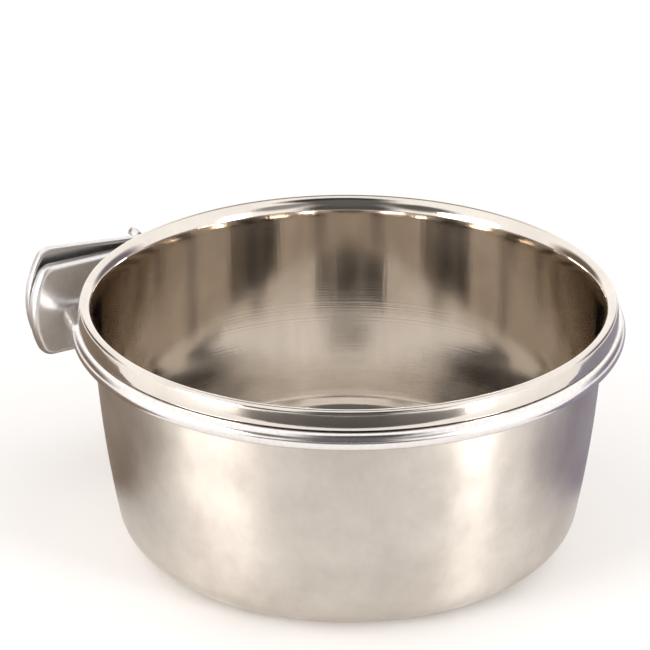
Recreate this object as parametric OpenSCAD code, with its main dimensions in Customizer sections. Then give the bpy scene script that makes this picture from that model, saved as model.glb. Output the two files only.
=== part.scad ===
// Clamp-on coop cup: a deep-drawn steel bowl that sits in a round wire ring.
// The ring's two legs are welded to a pressed jaw plate. A carriage bolt, a
// second jaw plate, a washer and a wing nut clamp it to cage bars.
// Units are millimetres. The origin is the centre of the bowl's base, +Z is up
// and the clamp lies towards +Y.

/* [Bowl] */
// Height from the base to the top of the rolled rim
bowl_h = 57.4; // [54:0.1:62]
// Outer diameter of the rolled rim
rim_d = 120; // [119:0.1:122]
// Thickness of the drawn sheet
sheet_t = 0.6; // [0.5:0.05:0.7]
// Outer radius of the roll along the top of the rim
roll_r = 1.05; // [1:0.05:1.2]
// Height of the skirt that hangs from the roll, from the roll's centre down
skirt_h = 3.15; // [2.8:0.05:3.3]
// Angle at which the skirt flares outwards
skirt_slope = 9; // [4:0.5:10]
// Height of the whole rim, from the foot of its shoulder to its top
rim_h = 5.4; // [5.2:0.1:6]
// Outer radius of the wall at its widest, just under the rim
wall_r = 56.7; // [56:0.1:56.7]
// Radius of the wall's barrel curve, seen from the side
barrel_r = 280; // [240:5:360]
// Height at which the barrel curve would be widest
barrel_z = 58.7; // [57:0.1:60]
// Outer radius of the corner between wall and base
corner_r = 9.5; // [7:0.5:12]

/* [Wire ring] */
// Diameter of the round wire
wire_d = 4.4; // [4:0.1:4.4]
// Radius of the ring at the wire's centre line
ring_r = 59.15; // [59.1:0.05:59.6]
// Height of the ring at the wire's centre line
ring_z = 50.8; // [49:0.1:50.8]
// Angle from the clamp's direction at which each leg leaves the ring
leg_angle = 64.75; // [62:0.25:67]
// Radius of the gentle bend where a leg turns down, at the centre line
dip_bend_r = 14; // [8:1:20]
// Radius of the bend where a leg turns along the jaw plate, at the centre line
foot_bend_r = 5; // [4:0.5:6]
// Distance from the bolt's axis to each end of the wire
wire_end_x = 9.5; // [8.5:0.5:14]

/* [Jaw plates] */
// Distance from the bowl's axis to the face of the front jaw plate
jaw_y = 62; // [62:0.1:63]
// Height of the bolt's axis above the base
bolt_z = 38.9; // [38:0.1:42]
// Lean of the front jaw plate on its welds, its -X end upwards
jaw_lean = 1.5; // [0:0.5:3]
// Length of a jaw plate
jaw_len = 91.4; // [84:0.2:96]
// Height of a jaw plate
jaw_h = 22.4; // [20:0.2:26]
// Depth of a jaw plate from its face to the edge of its flange
jaw_depth = 2.6; // [2.4:0.1:3.2]
// Thickness of the plates' sheet
jaw_t = 1; // [0.8:0.1:1.1]
// Radius of a plate's bulged ends
jaw_end_r = 21; // [18:0.5:26]
// Radius of a plate's corners
jaw_corner_r = 3.5; // [3:0.5:5]
// Outer radius of the bend between face and flange
jaw_bend_r = 1.3; // [1.2:0.05:1.5]
// Gap between the two plates' flanges with the clamp closed
jaw_gap = 0.3; // [0.3:0.1:1]
// Turn of the rear jaw plate against the front one as stored
rear_swivel = 5; // [-10:1:10]

/* [Bolt, washer and wing nut] */
// Thread diameter
thread_d = 5; // [5:1:5]
// Length of the bolt under its head
bolt_len = 25; // [22:1:40]
// Diameter of the bolt's low domed head
head_d = 12.4; // [11:0.2:13]
// Height of the bolt's head
head_h = 2.6; // [2.2:0.1:3]
// Side of the square neck under the head
neck_w = 5; // [5:0.1:5.4]
// Outer diameter of the flat washer
washer_d = 10; // [9:0.5:12]
// Thickness of the flat washer
washer_t = 1; // [0.8:0.1:1.2]
// Distance from the bolt's axis to the tip of a wing
wing_r = 13; // [12:0.5:14]
// Height of the wing nut from its seat to the top of its wings
wing_h = 14; // [12:0.5:15]
// Thickness of a wing
wing_t = 2.2; // [1.6:0.1:2.4]
// Radius of a wing's round tip
wing_tip_r = 4; // [3:0.5:4.5]
// Direction of the wings round the bolt as stored
wing_angle = 41; // [0:1:180]

/* [Hidden] */

steel = [0.74, 0.73, 0.71];
satin_steel = [0.68, 0.66, 0.63];
face_gap = 0.05;            // between flat faces that turn on each other
weld_bite = 0.05;           // depth that the wire is sunk into the plate at its weld
slice_t = 0.01;             // thickness of the slices that a rounded edge is stretched over

// Bowl: the wall's arc and the corner's arc, which touch each other
barrel_c = [wall_r - barrel_r, barrel_z];
touch_reach = barrel_r - corner_r;
corner_c = [barrel_c.x + sqrt(pow(touch_reach, 2) - pow(barrel_c.y - corner_r, 2)), corner_r];
touch_angle = -asin((barrel_c.y - corner_r) / touch_reach);

// Rim: the sheet runs up the wall, out over a shoulder, up a short neck and over the roll
half_t = sheet_t / 2;
roll_mid_r = roll_r - half_t;
roll_z = bowl_h - roll_r;
skirt_len = (roll_mid_r * sin(skirt_slope) + skirt_h - half_t) / cos(skirt_slope);
skirt_end = [rim_d / 2 - half_t, roll_z - skirt_h + half_t];
roll_c = [skirt_end.x - roll_mid_r * cos(skirt_slope) - skirt_len * sin(skirt_slope), roll_z];
neck_r = roll_c.x - roll_mid_r;
shoulder_r = 1.6;
shoulder_foot = bowl_h - rim_h;
wall_top_angle = -asin((barrel_c.y - shoulder_foot) / barrel_r);
wall_top_r = barrel_c.x + (barrel_r - half_t) * cos(wall_top_angle);
shoulder_turn = acos(1 - (neck_r - wall_top_r) / (2 * shoulder_r));
shoulder_low_c = [wall_top_r + shoulder_r, shoulder_foot];
shoulder_high_c = [neck_r - shoulder_r, shoulder_foot + 2 * shoulder_r * sin(shoulder_turn)];

// Wire: corner points of a leg's path, and the directions between them
wire_r = wire_d / 2;
foot_y = jaw_y - wire_r + weld_bite;
leave_dir = [cos(leg_angle), sin(leg_angle), 0];
leave_pt = [-ring_r * sin(leg_angle), ring_r * cos(leg_angle), ring_z];
leg_run = (foot_y - leave_pt.y) / leave_dir.y;
foot_pt = [leave_pt.x + leg_run * leave_dir.x, foot_y, bolt_z];
leg_slope = atan((ring_z - bolt_z) / leg_run);
dip_pt = leave_pt + dip_bend_r * tan(leg_slope / 2) * leave_dir;
leg_dir = (foot_pt - dip_pt) / norm(foot_pt - dip_pt);

// Clamp: where each piece starts along the bolt
flange_y = jaw_y + jaw_depth;
rear_y = flange_y + jaw_gap;
washer_y = rear_y + jaw_depth + face_gap;
nut_y = washer_y + washer_t + face_gap;
neck_h = 2.2;
thread_chamfer = 0.7;
head_trim = 0.2;            // taken off the dome's thin edge
punch_h = 4;                // length of the cutters for the plates' holes
plate_hole_r = thread_d / 2 + 0.3;
washer_hole_r = thread_d / 2 + 0.15;
nut_bore_r = thread_d / 2 + 0.05;
neck_slot_w = neck_w + 0.1;

// Everything on the bolt is drawn round +Z from its seat, then laid along +Y
module on_bolt(y) translate([0, y, bolt_z]) rotate([-90, 0, 0]) children();

// Points along an arc, from angle a0 to angle a1
function arc(centre, r, a0, a1, steps) = [for (i = [0:steps])
    let (a = a0 + (a1 - a0) * i / steps)
    centre + r * [cos(a), sin(a)]];

// ---- bowl ----

// The sheet's section: out along its outer face to the skirt's edge, and back along its inner face
function outer_face() = concat(
    [[0, 0]],
    arc(corner_c, corner_r, -90, touch_angle, 16),
    arc(barrel_c, barrel_r, touch_angle, wall_top_angle, 14),
    arc(shoulder_low_c, shoulder_r - half_t, 180, 180 - shoulder_turn, 6),
    arc(shoulder_high_c, shoulder_r + half_t, -shoulder_turn, 0, 6),
    arc(roll_c, roll_r - sheet_t, 180, skirt_slope, 12)
);

function inner_face() = concat(
    arc(roll_c, roll_r, skirt_slope, 180, 20),
    arc(shoulder_high_c, shoulder_r - half_t, 0, -shoulder_turn, 6),
    arc(shoulder_low_c, shoulder_r + half_t, 180 - shoulder_turn, 180, 6),
    arc(barrel_c, barrel_r - sheet_t, wall_top_angle, touch_angle, 14),
    arc(corner_c, corner_r - sheet_t, touch_angle, -90, 16),
    [[0, sheet_t]]
);

module bowl() {
    skirt_edge = arc(skirt_end, half_t, 180 + skirt_slope, 360 + skirt_slope, 8);
    color(satin_steel) rotate_extrude($fn = 240)
        polygon(concat(outer_face(), skirt_edge, inner_face()));
}

// ---- wire ring ----

// Points and directions along a bend that turns from d1 to d2 round the corner point p
function bend_side(d1, d2) = (d2 - (d1 * d2) * d1) / norm(d2 - (d1 * d2) * d1);
function bend_start(p, d1, d2, r) = p - r * tan(acos(d1 * d2) / 2) * d1;
function bend(p, d1, d2, r, steps) = [for (i = [0:steps])
    let (a = acos(d1 * d2) * i / steps, side = bend_side(d1, d2))
    [bend_start(p, d1, d2, r) + r * sin(a) * d1 + r * (1 - cos(a)) * side, cos(a) * d1 + sin(a) * side]];

// One leg, from its end on the plate back to the ring, as pairs of a point and a direction
along = [1, 0, 0];
leg = concat(
    [[[-wire_end_x, foot_pt.y, foot_pt.z], -along]],
    bend(foot_pt, -along, -leg_dir, foot_bend_r, 7),
    bend(dip_pt, -leg_dir, -leave_dir, dip_bend_r, 3)
);
function flipped(v) = [-v.x, v.y, v.z];
other_leg = [for (i = [len(leg) - 1:-1:0]) [flipped(leg[i][0]), -flipped(leg[i][1])]];
ring_steps = 52;
ring_turn = 360 - 2 * leg_angle;
round_part = [for (i = [1:ring_steps - 1])
    let (a = 90 + leg_angle + ring_turn * i / ring_steps)
    [[ring_r * cos(a), ring_r * sin(a), ring_z], [-sin(a), cos(a), 0]]];
wire_path = concat(leg, round_part, other_leg);

// A round wire swept along pairs of a point and a direction
wire_sides = 16;
function wire_loop(at) = let (
        level = cross([0, 0, 1], at[1]) / norm(cross([0, 0, 1], at[1])),
        upright = cross(at[1], level)
    ) [for (i = [0:wire_sides - 1])
        let (a = i * 360 / wire_sides)
        at[0] + wire_r * (cos(a) * level + sin(a) * upright)];

module ring_wire() {
    last = len(wire_path) - 1;
    color(steel) polyhedron(
        points = [for (at = wire_path) each wire_loop(at)],
        faces = concat(
            [[for (i = [0:wire_sides - 1]) i]],
            [for (k = [0:last - 1], i = [0:wire_sides - 1])
                let (j = (i + 1) % wire_sides, a = k * wire_sides)
                [a + i, a + wire_sides + i, a + wire_sides + j, a + j]],
            [[for (i = [wire_sides - 1:-1:0]) last * wire_sides + i]]
        ),
        convexity = 6
    );
}

// ---- jaw plates ----

// A plate's outline, moved inwards by inset: straight long sides, bulged ends, round corners
end_x = jaw_len / 2 - jaw_end_r;
corner_z = jaw_h / 2 - jaw_corner_r;
corner_x = end_x + sqrt(pow(jaw_end_r - jaw_corner_r, 2) - pow(corner_z, 2));

module jaw_outline(inset) {
    end_h = (jaw_end_r - inset) * corner_z / (jaw_end_r - jaw_corner_r);
    for (s = [-1, 1]) {
        intersection() {
            translate([s * end_x, 0]) circle(r = jaw_end_r - inset, $fn = 96);
            translate([s * jaw_len / 2, 0]) square([jaw_len, 2 * end_h], center = true);
        }
        for (t = [-1, 1])
            translate([s * corner_x, t * corner_z]) circle(r = jaw_corner_r - inset, $fn = 32);
    }
    square([2 * corner_x, jaw_h - 2 * inset], center = true);
}

// A block with the plate's outline, from z = 0 upwards, its lower edge rounded to radius bend
module jaw_block(inset, bend, h) {
    hull() {
        translate([0, 0, bend]) linear_extrude(h - bend) jaw_outline(inset);
        for (a = [0, 30, 60]) translate([0, 0, bend * (1 - cos(a))])
            linear_extrude(slice_t) jaw_outline(inset + bend * (1 - sin(a)));
    }
}

// A pressed tray: its face at z = 0, its flange standing up to z = jaw_depth
module jaw_tray() {
    difference() {
        jaw_block(0, jaw_bend_r, jaw_depth);
        translate([0, 0, jaw_t]) jaw_block(jaw_t, jaw_bend_r - jaw_t, jaw_depth);
    }
}

module front_jaw_plate() {
    color(steel) on_bolt(jaw_y) rotate([0, 0, jaw_lean]) difference() {
        jaw_tray();
        cube([neck_slot_w, neck_slot_w, punch_h], center = true);
    }
}

module rear_jaw_plate() {
    color(steel) translate([0, rear_y + jaw_depth, bolt_z])
        rotate([0, jaw_lean + rear_swivel, 0]) rotate([90, 0, 0]) difference() {
            jaw_tray();
            cylinder(r = plate_hole_r, h = punch_h, center = true, $fn = 64);
        }
}

// ---- bolt, washer and wing nut ----

// A low domed head, a square neck in the front plate and a round shank with a chamfered end
module carriage_bolt() {
    dome_r = (pow(head_d / 2, 2) + pow(head_h, 2)) / (2 * head_h);
    color(steel) on_bolt(jaw_y) rotate([0, 0, jaw_lean]) {
        intersection() {
            translate([0, 0, dome_r - head_h]) sphere(r = dome_r, $fn = 128);
            translate([0, 0, -head_h]) cylinder(r = head_d / 2 - head_trim, h = head_h, $fn = 96);
        }
        translate([-neck_w / 2, -neck_w / 2, 0]) cube([neck_w, neck_w, neck_h]);
        cylinder(d = thread_d, h = bolt_len - thread_chamfer, $fn = 64);
        translate([0, 0, bolt_len - thread_chamfer])
            cylinder(d1 = thread_d, d2 = thread_d - 2 * thread_chamfer, h = thread_chamfer, $fn = 64);
    }
}

module flat_washer() {
    color(steel) on_bolt(washer_y) difference() {
        cylinder(d = washer_d, h = washer_t, $fn = 96);
        translate([0, 0, -1]) cylinder(r = washer_hole_r, h = washer_t + 2, $fn = 64);
    }
}

// One wing, seen from the side: a lobe that rises outwards from the hub
hub_low_r = 5.5;
hub_top_r = 4.4;
hub_h = 6.5;
wing_waist = [5.6, 5];      // centre of the round under a wing
wing_waist_r = 2.2;
wing_root = [2.6, 1];       // corner of the root inside the hub
wing_root_size = [2, 4.5];

module wing_outline() {
    hull() {
        translate([wing_r - wing_tip_r, wing_h - wing_tip_r]) circle(r = wing_tip_r, $fn = 32);
        translate(wing_waist) circle(r = wing_waist_r, $fn = 32);
        translate(wing_root) square(wing_root_size);
    }
}

module wing_nut() {
    color(steel) on_bolt(nut_y) rotate([0, 0, wing_angle]) difference() {
        union() {
            cylinder(r1 = hub_low_r, r2 = hub_top_r, h = hub_h, $fn = 96);
            for (a = [0, 180])
                rotate([90, 0, a]) linear_extrude(wing_t, center = true) wing_outline();
        }
        translate([0, 0, -1]) cylinder(r = nut_bore_r, h = wing_h + 2, $fn = 64);
    }
}

bowl();
ring_wire();
front_jaw_plate();
carriage_bolt();
rear_jaw_plate();
flat_washer();
wing_nut();
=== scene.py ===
import math

import bpy
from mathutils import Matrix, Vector


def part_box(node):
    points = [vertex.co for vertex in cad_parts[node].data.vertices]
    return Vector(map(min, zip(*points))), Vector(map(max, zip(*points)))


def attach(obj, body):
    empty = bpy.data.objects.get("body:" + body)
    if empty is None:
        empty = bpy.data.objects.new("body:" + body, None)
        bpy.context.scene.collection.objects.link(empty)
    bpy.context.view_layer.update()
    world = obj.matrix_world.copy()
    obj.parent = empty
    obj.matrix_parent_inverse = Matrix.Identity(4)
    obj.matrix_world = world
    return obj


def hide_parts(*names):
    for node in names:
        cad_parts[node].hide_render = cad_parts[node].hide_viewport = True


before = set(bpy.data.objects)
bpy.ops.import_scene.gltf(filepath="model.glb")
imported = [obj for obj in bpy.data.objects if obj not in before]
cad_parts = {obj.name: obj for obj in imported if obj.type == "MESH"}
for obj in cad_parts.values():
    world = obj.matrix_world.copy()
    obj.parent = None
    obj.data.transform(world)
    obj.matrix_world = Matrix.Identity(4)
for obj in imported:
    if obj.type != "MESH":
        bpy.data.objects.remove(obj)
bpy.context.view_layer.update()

# Clamp-on coop cup: a drawn steel bowl in a wire ring, and the screw clamp that holds the ring to cage bars.
# Lengths are written in millimetres and turned into metres by mm().

UP = Vector((0, 0, 1))


def mm(value):
    return value * 0.001


# ---- sizes shared with the CAD model ----

bowl_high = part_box("bowl")[1]
plate_low, plate_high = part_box("front_jaw_plate")
bolt_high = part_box("carriage_bolt")[1]
washer_low, washer_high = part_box("flat_washer")
nut_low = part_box("wing_nut")[0]

# The clamp: its bolt's height, the degrees the front plate leans and the rear plate turns past it.
BOLT_Z = (plate_low[2] + plate_high[2]) / 2
JAW_LEAN = 1.5
REAR_TURN = 5
PLATE_FACE_Y = plate_low[1]
PLATE_DEPTH = plate_high[1] - plate_low[1]
REAR_FACE_Y = washer_low[1] - mm(0.05)
WING_TURN = 41

# The bowl's sheet and rim.
SHEET = mm(0.6)
RIM_R = bowl_high[0]
RIM_Z = bowl_high[2]

# The wire: its ring, the angle from the clamp's side at which a leg leaves it, and where a foot ends.
WIRE_R = mm(2.2)
RING_R = mm(59.15)
RING_Z = mm(50.8)
LEG_ANGLE = 64.75
FOOT_END_X = mm(9.5)

# The mesh spin tool turns against the right-hand rule.
SPIN_SIGN = -1

# The camera's side of the bowl, in degrees from +X. The studio's azimuths count from it, to the right.
CAMERA_ANGLE = -123.9

# The tent's tone, and its darker places: azimuth, elevation, and the degrees at which each place starts
# to fade and has faded out, then its tone.
TENT = (1.36, 1.33, 1.31)
PATCHES = [
    (8, 58, 12, 24, (0.06, 0.06, 0.06)),
    (-34, 24, 8, 20, (0.16, 0.15, 0.14)),
    (32, 24, 6, 16, (0.40, 0.38, 0.36)),
    (0, 6, 14, 26, (0.12, 0.11, 0.105)),
    (0, 34, 12, 26, (0.16, 0.155, 0.15)),
    (180, 56, 8, 20, (0.30, 0.28, 0.26)),
    (-125, 4, 10, 26, (0.20, 0.15, 0.11)),
    (128, 4, 10, 26, (0.24, 0.21, 0.26)),
]


# ---- helpers for working as by hand ----

def clear_selection():
    if bpy.context.mode != "OBJECT":
        bpy.ops.object.mode_set(mode="OBJECT")
    bpy.ops.object.select_all(action="DESELECT")


def name_piece(name):
    """Names the object just added and puts its place into its mesh."""
    piece = bpy.context.active_object
    piece.name = name
    piece.data.name = name
    bpy.ops.object.transform_apply(location=True, rotation=True, scale=True)
    return piece


def edit(piece):
    clear_selection()
    piece.select_set(True)
    bpy.context.view_layer.objects.active = piece
    bpy.ops.object.mode_set(mode="EDIT")
    bpy.ops.mesh.select_all(action="DESELECT")


def pick_faces(piece, wanted):
    """Selects the faces for which wanted(centre, normal) is true."""
    bpy.ops.object.mode_set(mode="OBJECT")
    for f in piece.data.polygons:
        f.select = wanted(f.center, f.normal)
    for e in piece.data.edges:
        e.select = False
    for v in piece.data.vertices:
        v.select = False
    bpy.ops.object.mode_set(mode="EDIT")
    bpy.ops.mesh.select_mode(type="FACE")


def pick_edges(piece, wanted):
    """Selects the edges for which wanted(one end, other end) is true."""
    bpy.ops.object.mode_set(mode="OBJECT")
    for f in piece.data.polygons:
        f.select = False
    for v in piece.data.vertices:
        v.select = False
    for e in piece.data.edges:
        a, b = (piece.data.vertices[i].co for i in e.vertices)
        e.select = wanted(a, b)
    bpy.ops.object.mode_set(mode="EDIT")
    bpy.ops.mesh.select_mode(type="EDGE")


def tidy_mesh(gap=1e-6):
    bpy.ops.mesh.select_all(action="SELECT")
    bpy.ops.mesh.remove_doubles(threshold=gap)
    bpy.ops.mesh.normals_make_consistent(inside=False)


def draw_line(name, points):
    """A line drawn point by point: one vertex, extruded to each next point."""
    clear_selection()
    bpy.ops.mesh.primitive_plane_add(size=mm(1), location=points[0])
    piece = name_piece(name)
    edit(piece)
    bpy.ops.mesh.select_mode(type="VERT")
    bpy.ops.mesh.select_all(action="SELECT")
    bpy.ops.mesh.merge(type="CENTER")
    for a, b in zip(points, points[1:]):
        bpy.ops.mesh.extrude_vertices_move(TRANSFORM_OT_translate={"value": Vector(b) - Vector(a)})
    return piece


def spin(centre, axis, degrees, steps):
    bpy.ops.mesh.spin(steps=steps, angle=math.radians(degrees), center=centre, axis=axis)


def apply_modifier(piece, kind, **settings):
    clear_selection()
    piece.select_set(True)
    bpy.context.view_layer.objects.active = piece
    modifier = piece.modifiers.new(kind.title(), kind)
    for key, value in settings.items():
        setattr(modifier, key, value)
    bpy.ops.object.modifier_apply(modifier=modifier.name)


def round_edges(piece, width, segments=3):
    sharp = math.radians(60)
    apply_modifier(piece, "BEVEL", width=width, segments=segments, limit_method="ANGLE", angle_limit=sharp)


def cut_away(piece, cutter):
    apply_modifier(piece, "BOOLEAN", operation="DIFFERENCE", object=cutter, solver="EXACT")
    bpy.data.objects.remove(cutter)


def join(first, *others):
    clear_selection()
    for piece in (first, *others):
        piece.select_set(True)
    bpy.context.view_layer.objects.active = first
    bpy.ops.object.join()
    return first


def place(piece, move, turn=(0, 0, 0)):
    """Turns and moves a piece, and puts its place into its mesh."""
    clear_selection()
    piece.select_set(True)
    bpy.context.view_layer.objects.active = piece
    piece.rotation_euler = [math.radians(a) for a in turn]
    piece.location = move
    bpy.ops.object.transform_apply(location=True, rotation=True, scale=True)
    return piece


def smooth(piece, degrees=35):
    clear_selection()
    piece.select_set(True)
    bpy.context.view_layer.objects.active = piece
    bpy.ops.object.shade_smooth_by_angle(angle=math.radians(degrees))


def finish_piece(piece, body, node, material):
    piece.data.materials.clear()
    piece.data.materials.append(material)
    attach(piece, body)
    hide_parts(node)
    return piece


def arc(centre, radius, start, stop, steps):
    """Points of an arc in a plane, as pairs; angles in degrees."""
    points = []
    for i in range(steps + 1):
        a = math.radians(start + (stop - start) * i / steps)
        points.append((centre[0] + radius * math.cos(a), centre[1] + radius * math.sin(a)))
    return points


# ---- bowl ----

def bowl_section():
    """The middle of the sheet, from the base's centre to the skirt's edge, as (radius, height)."""
    half = SHEET / 2
    barrel_r, corner_r = mm(280), mm(9.5)
    barrel = (mm(56.7) - barrel_r, mm(58.7))
    reach = barrel_r - corner_r
    rise = barrel[1] - corner_r
    corner = (barrel[0] + math.sqrt(reach ** 2 - rise ** 2), corner_r)
    touch = -math.degrees(math.asin(rise / reach))

    roll_r, skirt_h, slope = mm(1.05), mm(3.15), math.radians(9)
    mid_r = roll_r - half
    skirt_len = (mid_r * math.sin(slope) + skirt_h - half) / math.cos(slope)
    roll_x = RIM_R - half - mid_r * math.cos(slope) - skirt_len * math.sin(slope)
    roll = (roll_x, RIM_Z - roll_r)
    skirt_top = (roll_x + mid_r * math.cos(slope), roll[1] + mid_r * math.sin(slope))
    skirt_end = (RIM_R - half, roll[1] - skirt_h)

    # the inside of the rim is a rounded crown, a quarter of an ellipse from the wall to the roll
    foot_z = RIM_Z - mm(4.8)
    wall_top = -math.degrees(math.asin((barrel[1] - foot_z) / barrel_r))
    wall_r = barrel[0] + (barrel_r - half) * math.cos(math.radians(wall_top))
    crown_w = roll_x - wall_r
    crown_h = RIM_Z - half - foot_z
    crown_steps = 15
    base_steps = 8

    line = [(step * corner[0] / base_steps, half) for step in range(base_steps)]
    line += arc(corner, corner_r - half, -90, touch, 18)
    line += arc(barrel, barrel_r - half, touch, wall_top, 22)[1:]
    for step in range(1, crown_steps + 1):
        angle = math.radians(180 - 90 * step / crown_steps)
        line.append((roll_x + crown_w * math.cos(angle), foot_z + crown_h * math.sin(angle)))
    line += arc(roll, mid_r, 90, math.degrees(slope), 9)[1:]
    middle = ((skirt_top[0] + skirt_end[0]) / 2, (skirt_top[1] + skirt_end[1]) / 2)
    line += [middle, skirt_end]
    return line


def make_bowl(inside, outside):
    """The outside finish covers the wall and base up to the crown, and the inside finish the rest."""
    crown_z = mm(53)
    piece = draw_line("feed_bowl", [(r, 0, z) for r, z in bowl_section()])
    bpy.ops.mesh.select_all(action="SELECT")
    spin((0, 0, 0), UP, 360, 240)
    tidy_mesh()
    apply_modifier(piece, "SOLIDIFY", thickness=SHEET, offset=0, use_even_offset=True,
                   use_quality_normals=True)
    round_edges(piece, mm(0.22))
    smooth(piece)
    finish_piece(piece, "bowl", "bowl", inside)
    piece.data.materials.append(outside)
    for f in piece.data.polygons:
        outward = f.normal.x * f.center.x + f.normal.y * f.center.y
        if f.center.z < crown_z and (outward > 0 or f.normal.z < -0.5):
            f.material_index = 1
    return piece


# ---- wire ring ----

def make_ring(material):
    """Half the wire is run from the front of the ring to the end of its foot, then mirrored."""
    leg = math.radians(LEG_ANGLE)
    sunk = mm(0.05)
    foot_y = PLATE_FACE_Y - WIRE_R + sunk
    leave = Vector((-RING_R * math.sin(leg), RING_R * math.cos(leg), RING_Z))
    leave_dir = Vector((math.cos(leg), math.sin(leg), 0))
    run = (foot_y - leave.y) / leave_dir.y
    foot = Vector((leave.x + run * leave_dir.x, foot_y, BOLT_Z))
    slope = math.atan((RING_Z - BOLT_Z) / run)
    dip_r = mm(14)
    dip = leave + dip_r * math.tan(slope / 2) * leave_dir
    down_dir = (foot - dip).normalized()
    along = Vector((1, 0, 0))
    dip_turn = leave_dir.angle(down_dir)
    foot_r = mm(5)
    foot_turn = down_dir.angle(along)
    straight = (foot - dip).length - dip_r * math.tan(dip_turn / 2) - foot_r * math.tan(foot_turn / 2)

    clear_selection()
    bpy.ops.mesh.primitive_circle_add(vertices=28, radius=WIRE_R, fill_type="NGON",
                                      location=(0, -RING_R, RING_Z), rotation=(0, math.radians(90), 0))
    piece = name_piece("ring_wire_smooth")
    edit(piece)
    bpy.ops.mesh.select_mode(type="FACE")
    bpy.ops.mesh.select_all(action="SELECT")
    spin((0, 0, RING_Z), UP, SPIN_SIGN * -(180 - LEG_ANGLE), 72)

    def bend_wire(at, heading, new_heading, radius, steps):
        side = (new_heading - heading * heading.dot(new_heading)).normalized()
        turn = heading.angle(new_heading)
        axis = heading.cross(new_heading).normalized()
        spin(at + side * radius, axis, SPIN_SIGN * math.degrees(turn), steps)
        return at + side * radius * (1 - math.cos(turn)) + heading * radius * math.sin(turn)

    at = bend_wire(leave, leave_dir, down_dir, dip_r, 6)
    bpy.ops.mesh.extrude_region_move(TRANSFORM_OT_translate={"value": down_dir * straight})
    at = at + down_dir * straight
    at = bend_wire(at, down_dir, along, foot_r, 12)
    last = Vector((-FOOT_END_X - at.x, 0, 0))
    bpy.ops.mesh.extrude_region_move(TRANSFORM_OT_translate={"value": last})
    pick_faces(piece, lambda c, n: abs(c.x + FOOT_END_X) < mm(0.01))
    bpy.ops.mesh.bevel(offset=mm(0.35), segments=3, affect="EDGES")
    pick_faces(piece, lambda c, n: abs(c.x) < mm(0.01) and c.y < 0)
    bpy.ops.mesh.delete(type="FACE")
    apply_modifier(piece, "MIRROR", use_axis=(True, False, False), merge_threshold=mm(0.02))
    edit(piece)
    tidy_mesh()
    smooth(piece, 50)
    return finish_piece(piece, "holder", "ring_wire", material)


# ---- jaw plates ----

def plate_outline():
    """Half a plate's outline goes up one bulged end, and the other end is its turned copy; as (x, z)."""
    half_len, half_h, end_r, corner_r = mm(45.7), mm(11.2), mm(21), mm(3.5)
    end_x = half_len - end_r
    corner_z = half_h - corner_r
    corner_x = end_x + math.sqrt((end_r - corner_r) ** 2 - corner_z ** 2)
    meet = math.degrees(math.asin(corner_z / (end_r - corner_r)))
    side = arc((corner_x, -corner_z), corner_r, -90, -meet, 8)
    side += arc((end_x, 0), end_r, -meet, meet, 16)[1:-1]
    side += arc((corner_x, corner_z), corner_r, meet, 90, 8)
    edge_steps = 12
    long_edge = [(corner_x * (1 - 2 * i / edge_steps), half_h) for i in range(1, edge_steps)]
    half = side + long_edge
    return half + [(-x, -z) for x, z in half]


def make_plate(name):
    """A pressed tray with its face at y = 0 and its flange standing off it by the plate's depth."""
    bend_r, thickness = mm(1.28), mm(1)
    points = [(x, 0, z) for x, z in plate_outline()]
    piece = draw_line(name, points)
    bpy.ops.mesh.select_all(action="SELECT")
    bpy.ops.mesh.edge_face_add()
    bpy.ops.mesh.select_all(action="SELECT")
    bpy.ops.mesh.extrude_region_move(TRANSFORM_OT_translate={"value": (0, PLATE_DEPTH, 0)})
    bpy.ops.mesh.delete(type="ONLY_FACE")
    tidy_mesh()
    pick_edges(piece, lambda a, b: abs(a.y) < mm(0.01) and abs(b.y) < mm(0.01))
    bpy.ops.mesh.bevel(offset=bend_r, segments=7, affect="EDGES")
    bpy.ops.mesh.select_all(action="SELECT")
    bpy.ops.mesh.normals_make_consistent(inside=False)
    apply_modifier(piece, "SOLIDIFY", thickness=thickness, offset=-1, use_even_offset=True)
    round_edges(piece, mm(0.2))
    return piece


def make_plates(material):
    """The front plate has a square hole for the bolt's neck, and the rear plate a round one."""
    square, hole_r = mm(5.1), mm(2.8)
    front = make_plate("front_jaw")
    place(front, (0, PLATE_FACE_Y, BOLT_Z), (0, JAW_LEAN, 0))
    clear_selection()
    bpy.ops.mesh.primitive_cube_add(size=square, location=(0, PLATE_FACE_Y, BOLT_Z),
                                    rotation=(0, math.radians(JAW_LEAN), 0))
    cut_away(front, name_piece("square_punch"))
    smooth(front)
    finish_piece(front, "holder", "front_jaw_plate", material)

    rear = make_plate("rear_jaw_tray")
    place(rear, (0, 0, 0), (180, 0, 0))
    place(rear, (0, REAR_FACE_Y, BOLT_Z), (0, JAW_LEAN + REAR_TURN, 0))
    clear_selection()
    bpy.ops.mesh.primitive_cylinder_add(vertices=64, radius=hole_r, depth=mm(8),
                                        location=(0, REAR_FACE_Y, BOLT_Z), rotation=(math.radians(90), 0, 0))
    cut_away(rear, name_piece("round_punch"))
    smooth(rear)
    finish_piece(rear, "rear_jaw", "rear_jaw_plate", material)


# ---- bolt, washer and wing nut ----

def lay_on_bolt(piece, seat_y, turn=0):
    """A piece made round +Z from its seat, laid along the bolt."""
    place(piece, (0, 0, 0), (0, 0, turn))
    return place(piece, (0, seat_y, BOLT_Z), (-90, 0, 0))


def turned(name, section, steps=64):
    """A closed solid of revolution round +Z from a section that starts and ends on the axis."""
    piece = draw_line(name, [(r, 0, z) for r, z in section])
    bpy.ops.mesh.select_all(action="SELECT")
    spin((0, 0, 0), UP, 360, steps)
    tidy_mesh()
    return piece


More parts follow.
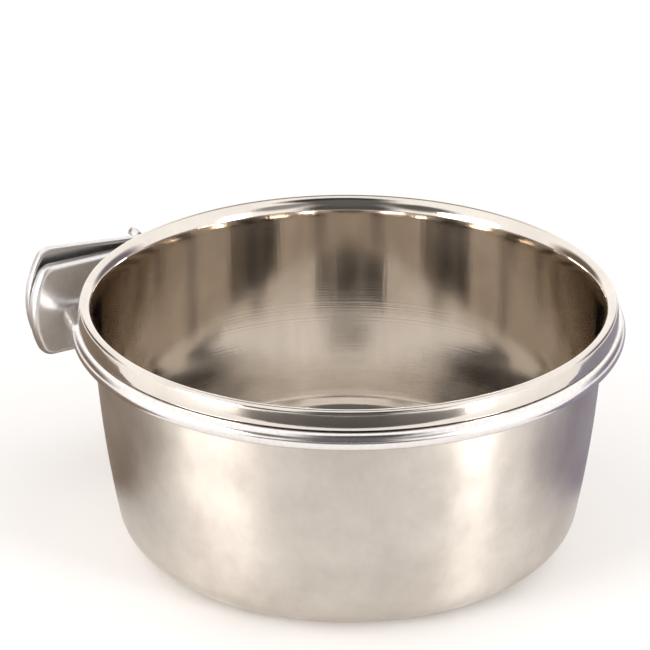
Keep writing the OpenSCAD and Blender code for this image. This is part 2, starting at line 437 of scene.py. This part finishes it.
def make_bolt(material):
    """A domed head, a square neck and a shank with a real M5 thread, joined into one piece."""
    head_r, head_h = mm(6.2), mm(2.6)
    dome_r = (head_r ** 2 + head_h ** 2) / (2 * head_h)
    side_r = head_r - mm(0.2)
    start = math.degrees(math.asin(side_r / dome_r))
    dome_steps = 12
    dome = []
    for i in range(dome_steps + 1):
        angle = math.radians(start * i / dome_steps)
        dome.append((dome_r * math.sin(angle), dome_r - head_h - dome_r * math.cos(angle)))
    core_r, chamfer = mm(2.02), mm(0.3)
    length = bolt_high[1] - PLATE_FACE_Y
    section = dome + [(side_r, 0), (core_r, 0), (core_r, length - chamfer)]
    section += [(core_r - chamfer, length), (0, length)]
    bolt = turned("cup_bolt", section, 72)
    smooth(bolt)

    clear_selection()
    bpy.ops.mesh.primitive_cube_add(size=1, location=(0, 0, mm(1.1)), scale=(mm(5), mm(5), mm(2.2)))
    neck = name_piece("square_neck")
    apply_modifier(neck, "BEVEL", width=mm(0.2), segments=2)

    pitch, turns, thread_start = mm(0.8), 26, mm(3.2)
    root_r, crest_r = mm(1.98), mm(2.48)
    tooth = [(root_r, -0.42), (crest_r, -0.06), (crest_r, 0.06), (root_r, 0.42)]
    thread = draw_line("thread", [(r, 0, share * pitch + thread_start) for r, share in tooth])
    bpy.ops.mesh.select_all(action="SELECT")
    bpy.ops.mesh.edge_face_add()
    bpy.ops.mesh.delete(type="ONLY_FACE")
    apply_modifier(thread, "SCREW", axis="Z", screw_offset=pitch, iterations=turns, steps=32, render_steps=32)
    edit(thread)
    bpy.ops.mesh.select_mode(type="EDGE")
    bpy.ops.mesh.select_non_manifold(extend=False)
    bpy.ops.mesh.edge_face_add()
    tidy_mesh()
    smooth(thread, 25)
    bolt = join(bolt, neck, thread)
    lay_on_bolt(bolt, PLATE_FACE_Y, JAW_LEAN)
    return finish_piece(bolt, "holder", "carriage_bolt", material)


def make_washer(material):
    height = washer_high[1] - washer_low[1]
    outer, inner, edge = mm(5), mm(2.65), mm(0.15)
    section = [(inner, 0), (outer, 0), (outer, height), (inner, height)]
    piece = turned("seat_washer", section + [section[0]], 72)
    round_edges(piece, edge)
    smooth(piece)
    lay_on_bolt(piece, washer_low[1])
    return finish_piece(piece, "washer", "flat_washer", material)


def wing_outline():
    """One wing seen from the side, as (distance from the axis, height)."""
    tip, low = (mm(9), mm(10)), (mm(5.6), mm(5))
    line = [(mm(1.5), mm(1)), (mm(4.6), mm(1))]
    line += arc(low, mm(2.2), -75, -38, 4)
    line += arc(tip, mm(4), -30, 140, 20)
    line += [(mm(3.2), mm(6.9)), (mm(1.5), mm(5.6))]
    return line


def make_wing_nut(material):
    """A tapered hub and two wings, melted into one forging and bored for the bolt."""
    hub_h, wing_t, bore_r = mm(6.5), mm(2.1), mm(2.55)
    clear_selection()
    bpy.ops.mesh.primitive_cone_add(vertices=64, radius1=mm(5.5), radius2=mm(4.4), depth=hub_h,
                                    location=(0, 0, hub_h / 2))
    hub = name_piece("clamp_wing_nut")
    wings = []
    for turn in (0, 180):
        wing = draw_line("wing", [(r, 0, z) for r, z in wing_outline()])
        bpy.ops.mesh.select_all(action="SELECT")
        bpy.ops.mesh.edge_face_add()
        bpy.ops.mesh.select_all(action="SELECT")
        bpy.ops.mesh.extrude_region_move(TRANSFORM_OT_translate={"value": (0, wing_t, 0)})
        tidy_mesh()
        bpy.ops.mesh.select_all(action="SELECT")
        bpy.ops.transform.translate(value=(0, -wing_t / 2, 0))
        round_edges(wing, mm(0.5), 4)
        wings.append(place(wing, (0, 0, 0), (0, 0, turn)))
    nut = join(hub, *wings)
    apply_modifier(nut, "REMESH", mode="VOXEL", voxel_size=mm(0.2))
    apply_modifier(nut, "SMOOTH", factor=0.5, iterations=8)
    clear_selection()
    bpy.ops.mesh.primitive_cylinder_add(vertices=64, radius=bore_r, depth=mm(40), location=(0, 0, 0))
    cut_away(nut, name_piece("bore"))
    smooth(nut, 45)
    lay_on_bolt(nut, nut_low[1], WING_TURN)
    return finish_piece(nut, "wing_nut", "wing_nut", material)


# ---- finishes ----

def new_material(name):
    material = bpy.data.materials.new(name)
    material.use_nodes = True
    tree = material.node_tree
    return material, tree, tree.nodes["Principled BSDF"]


def add_node(tree, kind, inputs=None, **settings):
    n = tree.nodes.new(kind)
    for key, value in settings.items():
        setattr(n, key, value)
    for key, value in (inputs or {}).items():
        if isinstance(value, bpy.types.NodeSocket):
            tree.links.new(value, n.inputs[key])
        else:
            n.inputs[key].default_value = value
    return n


def ramp(tree, source, stops):
    n = tree.nodes.new("ShaderNodeValToRGB")
    while len(n.color_ramp.elements) < len(stops):
        n.color_ramp.elements.new(0.5)
    for element, (position, colour) in zip(n.color_ramp.elements, stops):
        element.position = position
        element.color = colour if len(colour) == 4 else (*colour, 1)
    tree.links.new(source, n.inputs["Fac"])
    return n.outputs["Color"]


def grey(value):
    return (value, value, value, 1)


def noise(tree, place_in, scale, detail, roughness=0.5):
    inputs = {"Vector": place_in, "Scale": scale, "Detail": detail, "Roughness": roughness}
    return add_node(tree, "ShaderNodeTexNoise", inputs).outputs["Fac"]


def drawn_steel(name, dark, light, rough, spread, anisotropy):
    """Drawn and polished sheet: hair-fine rings round the bowl, streaks up the wall, faint smudges."""
    material, tree, shader = new_material(name)
    place_in = add_node(tree, "ShaderNodeTexCoord").outputs["Object"]
    smudge = noise(tree, place_in, 70.0, 5.0, 0.65)
    tone = ramp(tree, smudge, [(0.3, dark), (0.7, light)])
    tree.links.new(tone, shader.inputs["Base Color"])
    sheen = ramp(tree, smudge, [(0.3, grey(rough - spread)), (0.7, grey(rough + spread))])
    tree.links.new(sheen, shader.inputs["Roughness"])

    drawn = add_node(tree, "ShaderNodeMapping", {"Vector": place_in, "Scale": (1500, 1500, 6)})
    streaks = noise(tree, drawn.outputs["Vector"], 1.0, 3.0)
    streak_bump = add_node(tree, "ShaderNodeBump", {"Height": streaks, "Strength": 0.035, "Distance": 0.0002})

    flat = add_node(tree, "ShaderNodeVectorMath", {0: place_in, 1: (1, 1, 0)}, operation="MULTIPLY")
    radius = add_node(tree, "ShaderNodeVectorMath", {0: flat.outputs["Vector"]}, operation="LENGTH")
    height = add_node(tree, "ShaderNodeSeparateXYZ", {0: place_in}).outputs["Z"]
    ring_place = add_node(tree, "ShaderNodeCombineXYZ", {"X": radius.outputs["Value"], "Y": height})
    rings = noise(tree, ring_place.outputs["Vector"], 2600.0, 2.0)
    bump = add_node(tree, "ShaderNodeBump", {
        "Height": rings,
        "Strength": 0.03,
        "Distance": 0.0001,
        "Normal": streak_bump.outputs["Normal"],
    })
    tree.links.new(bump.outputs["Normal"], shader.inputs["Normal"])

    tangent = add_node(tree, "ShaderNodeTangent", direction_type="RADIAL", axis="Z")
    tree.links.new(tangent.outputs["Tangent"], shader.inputs["Tangent"])
    shader.inputs["Metallic"].default_value = 1
    shader.inputs["Anisotropic"].default_value = anisotropy
    shader.inputs["Anisotropic Rotation"].default_value = 0.25
    return material


def polished(name, colour, rough):
    """Polished steel with a slow waviness and a fine variation of tone."""
    material, tree, shader = new_material(name)
    place_in = add_node(tree, "ShaderNodeTexCoord").outputs["Object"]
    wave = noise(tree, place_in, 70.0, 2.0)
    fine = noise(tree, place_in, 900.0, 4.0)
    dark = tuple(c * 0.9 for c in colour)
    tone = ramp(tree, fine, [(0.3, dark), (0.7, colour)])
    tree.links.new(tone, shader.inputs["Base Color"])
    sheen = ramp(tree, wave, [(0.3, grey(rough * 0.8)), (0.7, grey(rough * 1.3))])
    tree.links.new(sheen, shader.inputs["Roughness"])
    bump = add_node(tree, "ShaderNodeBump", {"Height": wave, "Strength": 0.08, "Distance": 0.0003})
    tree.links.new(bump.outputs["Normal"], shader.inputs["Normal"])
    shader.inputs["Metallic"].default_value = 1
    return material


# ---- studio ----

def make_floor():
    clear_selection()
    bpy.ops.mesh.primitive_plane_add(size=6, location=(0, 0, 0))
    floor = name_piece("floor")
    material, tree, shader = new_material("pale_floor")
    shader.inputs["Base Color"].default_value = (0.93, 0.93, 0.93, 1)
    shader.inputs["Roughness"].default_value = 0.9
    floor.data.materials.append(material)


def studio_direction(azimuth, elevation):
    a = math.radians(CAMERA_ANGLE + azimuth)
    e = math.radians(elevation)
    return Vector((math.cos(a) * math.cos(e), math.sin(a) * math.cos(e), math.sin(e)))


def soft_light(name, azimuth, elevation, distance, width, height, power, colour):
    """An area light that faces the bowl."""
    direction = studio_direction(azimuth, elevation)
    data = bpy.data.lights.new(name, "AREA")
    data.shape = "RECTANGLE"
    data.size = width
    data.size_y = height
    data.energy = power
    data.color = colour
    light = bpy.data.objects.new(name, data)
    bpy.context.scene.collection.objects.link(light)
    bowl_middle = Vector((0, 0, mm(30)))
    light.location = bowl_middle + direction * distance
    light.rotation_euler = direction.to_track_quat("Z", "Y").to_euler()


def glowing_floor_card(name, azimuth, distance, size, colour):
    """A card on the floor beside the bowl. It glows with its own dim light in the given colour instead of
    being lit, and shows only in reflections, where it paints a darker tinted place into the metal's mirror
    image.
    """
    place_on_floor = studio_direction(azimuth, 0) * distance
    clear_selection()
    bpy.ops.mesh.primitive_plane_add(size=size, location=(place_on_floor.x, place_on_floor.y, mm(0.4)),
                                     rotation=(0, 0, math.radians(CAMERA_ANGLE + azimuth)))
    card = name_piece(name)
    material, tree, shader = new_material(name)
    shader.inputs["Base Color"].default_value = (0, 0, 0, 1)
    shader.inputs["Emission Color"].default_value = (*colour, 1)
    shader.inputs["Emission Strength"].default_value = 1
    card.data.materials.append(material)
    card.visible_camera = False
    card.visible_diffuse = False
    card.visible_shadow = False


def make_camera():
    data = bpy.data.cameras.new("camera")
    camera = bpy.data.objects.new("camera", data)
    bpy.context.scene.collection.objects.link(camera)
    camera.location = (-0.35595, -0.5284, 0.33988)
    aim = Vector((-0.00432, 0.00286, 0.04987))
    camera.rotation_euler = (camera.location - aim).to_track_quat("Z", "Y").to_euler()
    data.lens = 174.45
    data.sensor_width = 36
    bpy.context.scene.camera = camera


def make_world():
    """A pale tent all round, with a few softer and darker places in it."""
    world = bpy.data.worlds.new("studio")
    bpy.context.scene.world = world
    world.use_nodes = True
    tree = world.node_tree
    towards = add_node(tree, "ShaderNodeTexCoord").outputs["Generated"]
    colour = (*TENT, 1)
    for azimuth, elevation, inner, outer, patch in PATCHES:
        toward = add_node(tree, "ShaderNodeVectorMath", {0: towards, 1: studio_direction(azimuth, elevation)},
                          operation="DOT_PRODUCT")
        share = add_node(tree, "ShaderNodeMapRange", {
            "Value": toward.outputs["Value"],
            "From Min": math.cos(math.radians(outer)),
            "From Max": math.cos(math.radians(inner)),
        }, interpolation_type="SMOOTHSTEP")
        mix = add_node(tree, "ShaderNodeMix", {
            "Factor": share.outputs["Result"],
            "A": colour,
            "B": (*patch, 1),
        }, data_type="RGBA")
        colour = mix.outputs["Result"]
    back = tree.nodes["Background"]
    tree.links.new(colour, back.inputs["Color"])


# ---- the cup and its studio ----

make_camera()
inside_finish = drawn_steel("drawn_steel_inside", (0.62, 0.575, 0.525), (0.71, 0.665, 0.61),
                            rough=0.07, spread=0.015, anisotropy=0.5)
outside_finish = drawn_steel("drawn_steel_outside", (0.52, 0.475, 0.43), (0.66, 0.615, 0.56),
                             rough=0.32, spread=0.03, anisotropy=0.85)
wire_finish = polished("bright_wire", (0.80, 0.77, 0.76), 0.16)
plate_finish = polished("pressed_plate", (0.76, 0.755, 0.76), 0.42)
fastener_finish = polished("bright_fasteners", (0.70, 0.69, 0.68), 0.22)
make_bowl(inside_finish, outside_finish)
make_ring(wire_finish)
make_plates(plate_finish)
make_bolt(fastener_finish)
make_washer(fastener_finish)
make_wing_nut(fastener_finish)
make_floor()
make_world()
soft_light("left_box", -57, 9, 1.2, 0.6, 0.34, 12, (1.0, 0.95, 0.90))
soft_light("right_box", 54, 9, 1.2, 0.28, 0.34, 9.0, (1.0, 0.97, 0.95))
# Dim glowing cards, seen only in reflections: they paint a brownish tone at the left, a purple-grey tone at
# the right and a dark tone in front into the metal's reflections.
glowing_floor_card("left_card", -118, 0.15, 0.18, (0.20, 0.14, 0.095))
glowing_floor_card("right_card", 120, 0.15, 0.18, (0.27, 0.245, 0.32))
glowing_floor_card("front_card", 0, 0.55, 0.7, (0.09, 0.08, 0.075))

bpy.context.scene.view_settings.view_transform = "Standard"
# The bowl's inside mirrors itself many times over, so light is followed for longer than usual.
bpy.context.scene.cycles.glossy_bounces = 12
clear_selection()
